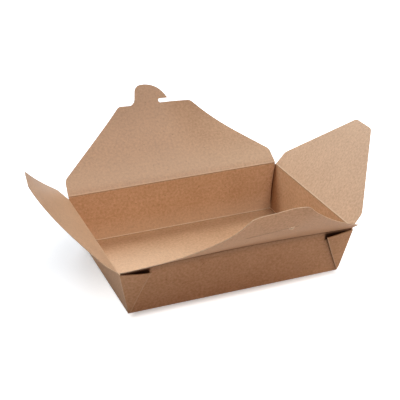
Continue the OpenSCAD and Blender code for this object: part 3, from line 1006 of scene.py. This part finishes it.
# %% The tray's scores
# Painted shade under the rims, painted light at the feet of the long walls, painted shade in the end walls'
# corners, and a painted sheen on the base.
RIM_SHADE, RIM_SHADE_DEPTH = 0.3, 7
FOOT_PAINTED_LIGHT, FOOT_LIGHT_HEIGHT = 0.45, 22
CORNER_SHADE, CORNER_SHADE_REACH, CORNER_RUB, CORNER_RUB_REACH = 0.4, 8, 0.4, 0.01
BASE_PAINTED_SHEEN, SHEEN_SIDEWAYS, SHEEN_FORWARD = 0.5, (70, 150), (55, 40)
WEB_LINE, WEB_LINE_FADE = 0.8, 0.6
POCKET_AT_RIM, POCKET_RISE, POCKET_DEPTH, POCKET_FADE = 0.45, 2.5, 9, 2
POCKET_INSET, POCKET_END_FADE = 1, 1.5
rows_above = np.zeros(WALL_ROWS)
inside_rows = np.concatenate([fold_inside, rows_above])[:, None]
outside_rows = np.concatenate([fold_outside, rows_above])[:, None]
on_wall = (np.arange(len(profile) + WALL_ROWS) >= len(profile))[:, None]


def behind_web(u, up):
    """How much painted shade a long wall gets behind the folded corner: 1 there, fading to 0 just outside its
    diagonal.
    """
    diagonal = BASE_LENGTH / 2 - (WEB_REACH - WALL_FLARE) * up / WEB_TIP_HEIGHT
    return ease((abs(u) - diagonal + WEB_LINE) / WEB_LINE_FADE) * (up < WEB_TIP_HEIGHT)


def in_pocket(u, half, below_rim):
    """How much painted shade a long wall gets in the mouth of a folded corner's pocket: most in its depth."""
    depth = POCKET_AT_RIM + (1 - POCKET_AT_RIM) * ease(below_rim / POCKET_RISE)
    depth = depth * ease((POCKET_DEPTH - below_rim) / POCKET_FADE)
    return depth * ease((abs(u) - (half - WEB_REACH + POCKET_INSET)) / POCKET_END_FADE)


def panel_scores(side, points, web_order):
    """The scores of one panel, inside and outside: folds, painted shade in the corners, under the rim and in
    the pockets' mouths, and painted light at the foot.
    """
    if web_order:
        return (inside_rows + on_wall * web_inside[::web_order],
                outside_rows + on_wall * web_outside[::web_order])
    u, up = points[..., 0], points[..., 2]
    to_corner = abs(u[:, -1:]) - abs(u)
    if side in ("left", "right"):
        # Painted shade in the end walls' corners.
        corner_painted_shade = on_wall * CORNER_SHADE * (1 - ease(to_corner / CORNER_SHADE_REACH))
        return inside_rows - corner_painted_shade, outside_rows + CORNER_RUB * on_wall * (to_corner < CORNER_RUB_REACH)
    below_rim = crease_axis[side + "_crease"][2] - up
    # Painted shade behind the folded corner, in its pocket's mouth and under the rim.
    dark = np.maximum(in_pocket(u, u[-1, -1], below_rim), behind_web(u, up))
    dark = np.maximum(dark, RIM_SHADE * (1 - ease(below_rim / RIM_SHADE_DEPTH)))
    # Painted light at the foot of a long wall inside.
    rubbed = on_wall * FOOT_PAINTED_LIGHT * (1 - ease(up / FOOT_LIGHT_HEIGHT))
    return inside_rows + rubbed, outside_rows - on_wall * dark


def base_painted_sheen(points):
    """How pale the base's inside is painted, a painted sheen: most at the front and left, fading to the right
    and the back.
    """
    (right_end, right_fade), (back_end, back_fade) = SHEEN_SIDEWAYS, SHEEN_FORWARD
    sideways = ease((right_end - points[..., 0]) / right_fade)
    return BASE_PAINTED_SHEEN * sideways * ease((back_end - points[..., 1]) / back_fade)


ring_inside, ring_outside = (np.concatenate(scores, axis=1)
                             for scores in zip(*[panel_scores(*panel) for panel in ring_order]))
ring_inside = ring_inside + base_painted_sheen(ring) * ~on_wall
tray_inside_score = np.concatenate([ring_inside.ravel(), base_painted_sheen(base).ravel()])
tray_outside_score = np.concatenate([ring_outside.ravel(), np.zeros(base[..., 0].size)])
print("scores inside from", tray_inside_score.min().round(2), "to", tray_inside_score.max().round(2))

# %% Tray mesh
tray_points, tray_faces = joined_grids(ring, base)
tray_board = make_piece("tray_board", tray_points, tray_faces, listed(ring_flat, base_flat), tray_finishes,
                        tray_inside_score, tray_outside_score)
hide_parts("tray")
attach(tray_board, "tray")

# %% [markdown]
# ## The scored creases
#
# A scored crease is a narrow band where the board has been pressed, so that it
# folds there and nowhere else. In the real box it stays in one piece with the
# wall and with the flap. Here each band is a strip of its own, not tied to the
# flap: it starts on the wall, rounds over the crease, and ends on the flap.
# Pressing makes the board swell into a small bead, so the strip is a little
# thicker in its middle. Inside, it shows a dark line on the wall and a pale one
# on the flap; outside, it is a single dark groove, and on the long creases it also
# gets painted shade under the rim and in the pockets' mouths.

# %% Crease strips
CREASE_RADIUS = 0.4
BEAD, BEAD_HALF_WIDTH, GROOVE_HALF_WIDTH = 0.08, 0.35, 0.55
BLEND_FROM = {"back": 1.0, "front": 3.0, "left": 0.7, "right": 0.7}
BLEND_TO = {"back": 1.2, "front": 2.6, "left": 1.0, "right": 1.0}
GROOVE_DARK, LINE_PALE, LINE_DARK = 0.95, 0.9, 0.45
PALE_PLACE, DARK_PLACE, LINE_HALF_WIDTH = 0.5, -0.4, 0.4
STRIP_COLUMNS = {"back": 97, "front": 145, "left": 73, "right": 73}
STRIP_ROWS, ROUND_ROWS = 5, 9
flap_slope = {"back": back_slope, "front": front_slope, "left": left_slope, "right": right_slope}


def strip_points(side, u, p):
    """The strip at u along the crease and p across it: below zero down the wall, above zero up the flap."""
    slope = flap_slope[side]

    def path(q):
        """The sharp fold: straight down the wall's lean, or up the flap's bend."""
        out, up = walked(slope, u, np.clip(q, 0, None))
        down = np.clip(-q, 0, None)
        return np.stack([out - down * math.sin(wall_lean), up - down * math.cos(wall_lean)])

    t = np.clip((p + CREASE_RADIUS) / (2 * CREASE_RADIUS), 0, 1)
    wall_end, flap_end = path(np.full_like(p, -CREASE_RADIUS)), path(np.full_like(p, CREASE_RADIUS))
    out, up = np.where(abs(p) < CREASE_RADIUS, (1 - t) ** 2 * wall_end + t ** 2 * flap_end, path(p))
    if side == "front":
        height = 1 - np.clip(-p, 0, None) * math.cos(wall_lean) / FRONT_RIM
        held = bow(u) * height ** BOW_GROWTH * (1 - ease(np.clip(p, 0, None) / BOW_FADE))
        out, up = out - BOW_IN * held, up + BOW_UP * held
    return on_crease(side, u, out, up)


def crease_strip(side):
    """The whole strip of one side, between the wall's last row and the flap's first."""
    is_long = side in ("back", "front")
    wall_half = wall[side][-1, -1, 0]
    flap_half = back_root if is_long else end_root
    across = spread([-WALL_STOP[side], -CREASE_RADIUS, CREASE_RADIUS, FLAP_START[side]],
                    [STRIP_ROWS, ROUND_ROWS, STRIP_ROWS])
    share = (across - across[0]) / (across[-1] - across[0])
    half = wall_half + (flap_half - wall_half) * share
    u = half[:, None] * np.linspace(-1, 1, STRIP_COLUMNS[side])
    p = np.broadcast_to(across[:, None], u.shape)
    middle = np.exp(-(p / BEAD_HALF_WIDTH) ** 2)
    groove = GROOVE_DARK * np.exp(-(p / GROOVE_HALF_WIDTH) ** 2)
    inside_line = (LINE_PALE * np.exp(-((p - PALE_PLACE) / LINE_HALF_WIDTH) ** 2)
                   - LINE_DARK * np.exp(-((p - DARK_PLACE) / LINE_HALF_WIDTH) ** 2))
    if is_long:
        # On the long creases the outside also gets painted shade: under the rim, where the flap overhangs,
        # and in the mouths of the folded corners' pockets.
        groove = np.maximum(groove, RIM_SHADE * (1 - ease(-p / RIM_SHADE_DEPTH)) * ease(0.5 - p))
        groove = np.maximum(groove, in_pocket(u, wall_half, np.clip(-p, 0, None)) * ease(1 - 2 * p))
    strip = make_piece(side + "_crease_board", strip_points(side, u, p), grid_faces(*u.shape),
                       flat_place(side, u, p), flap_finishes, inside_line, -groove, BOARD + BEAD * middle)
    ends = strip_points(side, np.zeros(2), np.array([-BLEND_FROM[side], BLEND_TO[side]])) * MM
    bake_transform(strip)
    return strip


crease_boards = [crease_strip(side) for side in ("back", "front", "left", "right")]
print("crease strips:", [strip.name for strip in crease_boards])

# %% [markdown]
# ## Floor and light
#
# The photograph is a studio shot on pure white. A white floor that is lit
# brightly enough to look white would throw far too much light back on the
# board, so the floor's own colour is a plain pale grey, and a glow is added
# that only the camera and mirrored rays see. The shadow stays, because the glow
# changes slowly and only the lit part dims. It is weakest at the left of the
# box, where the photograph keeps a soft grey shadow, and in a narrow band along
# the box's foot; further off and in front, the paper is burnt out to white. The
# lamps are warm, so to the camera the floor is a touch blue, which brings its
# lit part back to grey.

# %% Floor
FLOOR_HALF = 6.0
FLOOR_COLOUR, FLOOR_SEEN = (0.80, 0.80, 0.80), (0.71, 0.80, 0.93)
GLOW_FRONT, GLOW_LEFT, GLOW_MIRRORED = 0.97, 0.28, 0.5
GLOW_AT_FOOT, FOOT_FADE, END_LEAD = 0.4, 0.011, 8.0
GLOW_SLANT, FRONT_GLOW_ENDS, LEFT_GLOW_STARTS = -0.3, -0.052, 0.09
SHADOW_ENDS, WHITE_STARTS = 0.11, 0.22

floor_mesh = bpy.data.meshes.new("floor")
floor_mesh.from_pydata([(x * FLOOR_HALF, y * FLOOR_HALF, 0) for x, y in ((-1, -1), (1, -1), (1, 1), (-1, 1))],
                       [], [(0, 1, 2, 3)])
floor = bpy.data.objects.new("floor", floor_mesh)
bpy.context.scene.collection.objects.link(floor)
print("floor glow: front", GLOW_FRONT, "left", GLOW_LEFT, "at the foot times", GLOW_AT_FOOT)

# %% The floor's paper
paper = bpy.data.materials.new("studio_floor")
nodes = empty_tree(paper)
seen = add(nodes, "ShaderNodeLightPath")
tint = mixed(nodes, seen.outputs["Is Camera Ray"], (*FLOOR_COLOUR, 1), (*FLOOR_SEEN, 1))
lit = add(nodes, "ShaderNodeBsdfDiffuse", Color=tint)
flat_point = add(nodes, "ShaderNodeTexCoord").outputs["Object"]
place = add(nodes, "ShaderNodeSeparateXYZ", Vector=flat_point)
leftward = math_node(nodes, "MULTIPLY_ADD", place.outputs["X"], GLOW_SLANT, place.outputs["Y"])
near = ranged(nodes, leftward, FRONT_GLOW_ENDS, LEFT_GLOW_STARTS, GLOW_FRONT, GLOW_LEFT, "SMOOTHSTEP")
away = [math_node(nodes, "SUBTRACT", math_node(nodes, "ABSOLUTE", place.outputs[axis]), half * MM)
        for axis, half in (("X", BASE_LENGTH / 2 - END_LEAD), ("Y", BASE_WIDTH / 2))]
foot = ranged(nodes, math_node(nodes, "MAXIMUM", *away), 0.0, FOOT_FADE, GLOW_AT_FOOT, 1.0, "SMOOTHSTEP")
far_off = add(nodes, "ShaderNodeVectorMath", {"operation": "LENGTH"}, i0=flat_point).outputs["Value"]
glow_here = ranged(nodes, far_off, SHADOW_ENDS, WHITE_STARTS, near, GLOW_FRONT, "SMOOTHSTEP")
glow_here = math_node(nodes, "MULTIPLY", glow_here, foot)
mirrored = math_node(nodes, "MULTIPLY", seen.outputs["Is Glossy Ray"], GLOW_MIRRORED)
direct = math_node(nodes, "MAXIMUM", seen.outputs["Is Camera Ray"], mirrored)
glow = add(nodes, "ShaderNodeEmission", Strength=math_node(nodes, "MULTIPLY", direct, glow_here))
both = add(nodes, "ShaderNodeAddShader", i0=lit.outputs[0], i1=glow.outputs[0])
add(nodes, "ShaderNodeOutputMaterial", Surface=both.outputs[0])
floor_mesh.materials.append(paper)
print("nodes of the floor:", len(nodes.nodes))

# %% [markdown]
# The surroundings work in the same way: they are white to the camera and to the
# faint gloss of the board, which makes the flaps paler than the inside of the
# tray, and they give next to no light of their own.

# %% Surroundings
SKY_COLOUR, SKY_LEVEL = (1.0, 0.95, 0.9), 0.015

world = bpy.data.worlds.new("studio")
bpy.context.scene.world = world
nodes = empty_tree(world)
seen = add(nodes, "ShaderNodeLightPath")
soft = add(nodes, "ShaderNodeBackground", Color=(*SKY_COLOUR, 1), Strength=SKY_LEVEL)
white = add(nodes, "ShaderNodeBackground", Color=(1, 1, 1, 1), Strength=1.0)
direct = math_node(nodes, "MAXIMUM", seen.outputs["Is Camera Ray"], seen.outputs["Is Glossy Ray"])
chosen = add(nodes, "ShaderNodeMixShader", i0=direct, i1=soft.outputs[0], i2=white.outputs[0])
add(nodes, "ShaderNodeOutputWorld", Surface=chosen.outputs[0])
print("light from the surroundings:", SKY_LEVEL)

# %% [markdown]
# The main light is a wide panel high up behind the box. It leaves the back of
# the tray in its own shade and lights the front of the base. A smaller panel
# high in front lights the back flap and the right flap, and three weak, warm ones
# open up the shadows: one from the right, one low in front and one at the left.

# %% Lamps
AIMED_AT = Vector((0, 0, 0.03))


def panel_light(name, place, width, power, colour):
    """A square area light at a place, turned so that it shines at the box."""
    lamp = bpy.data.lights.new(name, "AREA")
    lamp.shape = "SQUARE"
    lamp.size = width
    lamp.energy = power
    lamp.color = colour
    holder = bpy.data.objects.new(name, lamp)
    holder.location = place
    holder.rotation_euler = (AIMED_AT - holder.location).to_track_quat("-Z", "Y").to_euler()
    bpy.context.scene.collection.objects.link(holder)
    return holder


lamps = [
    panel_light("back_panel", (-0.4, 1.2, 1.4), 0.9, 25.0, (1.0, 0.99, 0.94)),
    panel_light("high_front_panel", (0.5, -0.6, 1.3), 0.6, 8.4, (1.0, 0.92, 0.83)),
    panel_light("right_panel", (1.2, -1.0, 0.9), 0.9, 4.3, (1.0, 0.67, 0.35)),
    panel_light("low_front_panel", (-0.2, -1.5, 0.25), 0.8, 3.3, (1.0, 0.70, 0.62)),
    panel_light("left_panel", (-0.9, 1.0, 1.0), 0.8, 3.0, (1.0, 0.87, 0.65)),
]
print("lamps:", {lamp.name: lamp.data.energy for lamp in lamps})

# %% [markdown]
# ## The last step
#
# The view layer is brought up to date.

# %% Bring the scene up to date
bpy.context.view_layer.update()
